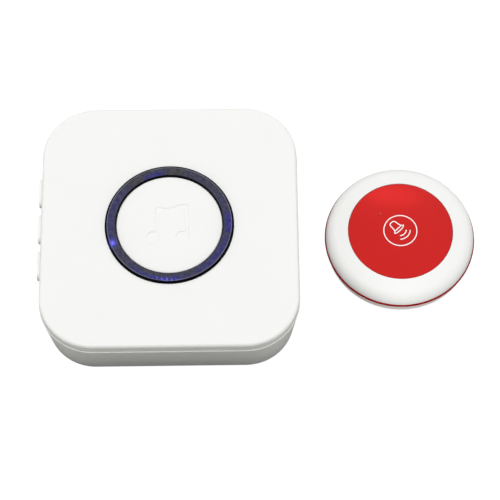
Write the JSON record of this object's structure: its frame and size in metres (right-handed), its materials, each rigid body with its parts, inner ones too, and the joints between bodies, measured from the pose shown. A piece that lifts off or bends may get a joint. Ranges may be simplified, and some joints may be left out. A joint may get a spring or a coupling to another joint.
{
  "type": "caregiver pager",
  "caption": "Wireless caregiver pager set: a rounded-square chime receiver with a raised light ring and side press buttons, beside a round call button with a red press cap.",
  "frame": {"origin": "middle of the receiver's flat back, on the surface that both devices lie on", "axes": "+X from the receiver to the call button, +Y towards the receiver's top edge, +Z out of the face"},
  "size_m": [0.1538, 0.092, 0.0237],
  "materials": {
    "casing_white": "satin white moulding",
    "smoked_blue": "smoked translucent blue",
    "cap_red": "satin red",
    "lens_red": "translucent red",
    "seal_red": "dark red seal",
    "board_green": "solder mask",
    "part_black": "moulded black",
    "lamp_white": "lamp body",
    "bright_steel": "plated steel",
    "speaker_metal": "zinc plate",
    "magnet_dark": "ferrite",
    "cone_paper": "black paper",
    "lead_red": "insulated wire",
    "coil_copper": "enamelled copper",
    "cell_can": "cell can"
  },
  "bodies": {
    "casings": {"front_cover": "casing_white", "rear_cover": "casing_white", "centre_disc": "casing_white", "button_base": "casing_white", "button_shell": "casing_white", "light_ring": "smoked_blue", "seal_ring": "seal_red", "receiver_board": "board_green", "button_board": "board_green", "sound_chip": "part_black", "encoder_chip": "part_black", "ring_lamps": "lamp_white", "indicator_lamp": "lamp_white", "side_switches": "bright_steel", "radio_module": "bright_steel", "cell_springs": "bright_steel", "cell_plates": "bright_steel", "case_screws": "bright_steel", "board_screws": "bright_steel", "call_switch": "bright_steel", "cell_clip": "bright_steel", "base_screws": "bright_steel", "speaker_basket": "speaker_metal", "speaker_magnet": "magnet_dark", "speaker_cone": "cone_paper", "speaker_leads": "lead_red", "antenna_coil": "coil_copper", "battery_cells": "cell_can", "coin_cell": "cell_can"},
    "upper_button": {"upper_side_button": "casing_white", "upper_switch_plunger": "part_black"},
    "middle_button": {"middle_side_button": "casing_white", "middle_switch_plunger": "part_black"},
    "lower_button": {"lower_side_button": "casing_white", "lower_switch_plunger": "part_black"},
    "red_cap": {"call_cap": "cap_red", "indicator_lens": "lens_red", "call_switch_plunger": "part_black"},
    "sliding_door": {"battery_door": "casing_white"}
  },
  "joints": [
    {"name": "upper_button_press", "type": "slide", "parent": "casings", "child": "upper_button", "axis": [1, 0, 0], "range_m": [0, 0.0006], "stiffness_N_per_m": 1500},
    {"name": "middle_button_press", "type": "slide", "parent": "casings", "child": "middle_button", "axis": [1, 0, 0], "range_m": [0, 0.0006], "stiffness_N_per_m": 1500},
    {"name": "lower_button_press", "type": "slide", "parent": "casings", "child": "lower_button", "axis": [1, 0, 0], "range_m": [0, 0.0006], "stiffness_N_per_m": 1500},
    {"name": "call_button_press", "type": "slide", "parent": "casings", "child": "red_cap", "axis": [0, 0, -1], "range_m": [0, 0.0006], "stiffness_N_per_m": 3000},
    {"name": "battery_door_slide", "type": "slide", "parent": "casings", "child": "sliding_door", "axis": [0, 1, 0], "range_m": [0, 0.04]}
  ]
}
